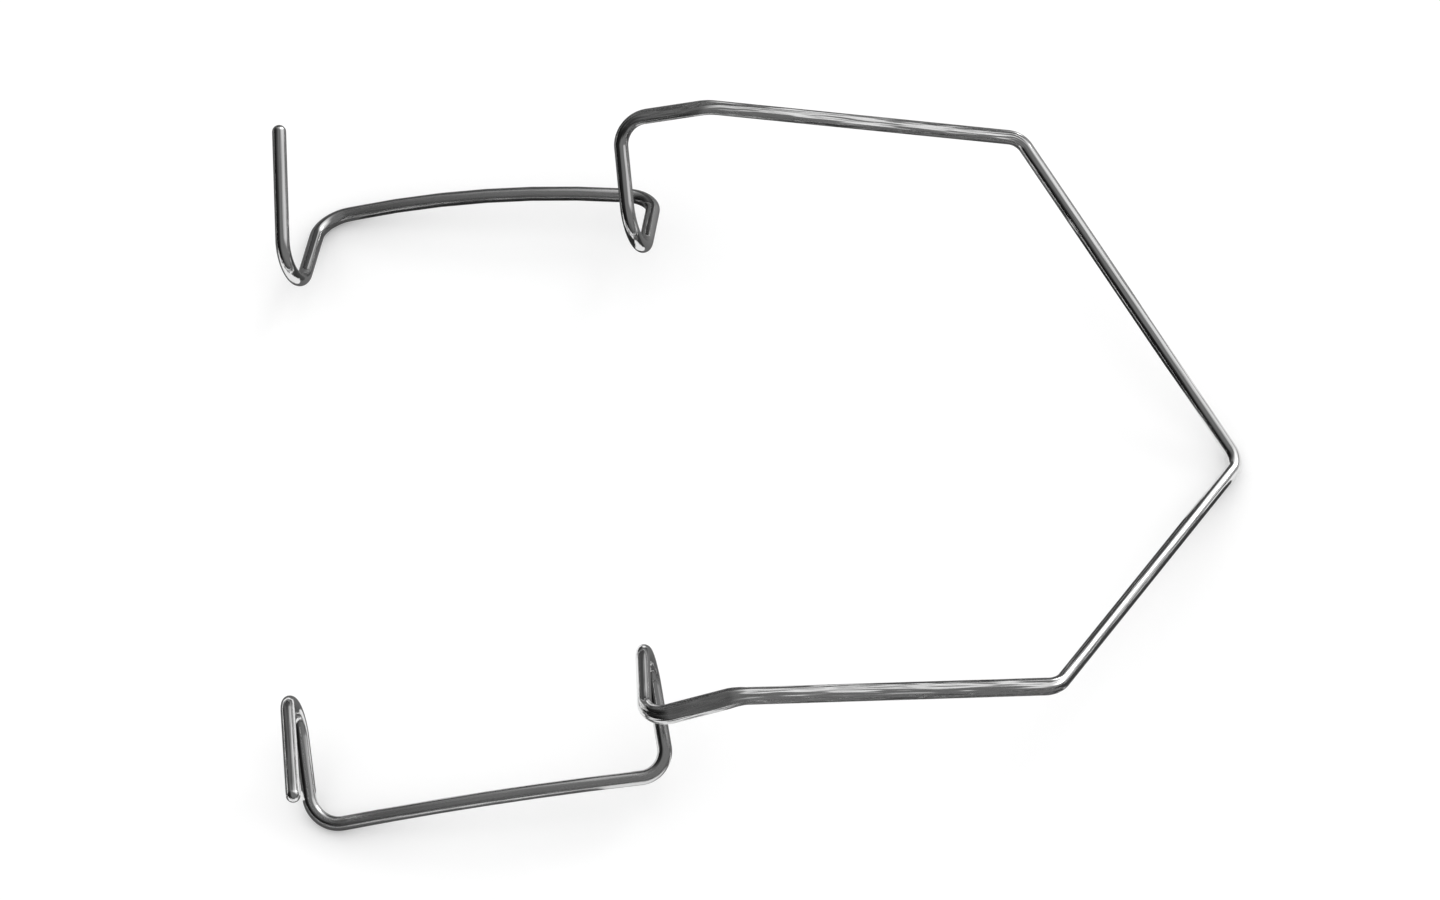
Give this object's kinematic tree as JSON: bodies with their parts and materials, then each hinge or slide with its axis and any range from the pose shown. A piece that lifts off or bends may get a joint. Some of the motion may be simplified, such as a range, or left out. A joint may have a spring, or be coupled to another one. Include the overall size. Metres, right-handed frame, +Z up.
{
  "type": "wire eye speculum",
  "caption": "Self-retaining eye speculum bent from one length of steel wire: open V spring, pressed arms and looped blades whose hooks hold the eyelids apart.",
  "frame": {"origin": "centre of the box around the wire, on the surface that it rests on", "axes": "+X from the blades to the vertex of the V spring, +Y across to the left blade, +Z up from the surface that it rests on, toward the side that the hooks open to"},
  "size_m": [0.04, 0.0328, 0.008],
  "materials": {
    "steel_wire": "polished stainless steel with fine lines along the wire"
  },
  "bodies": {
    "root": {"speculum_wire": "steel_wire"}
  },
  "joints": []
}
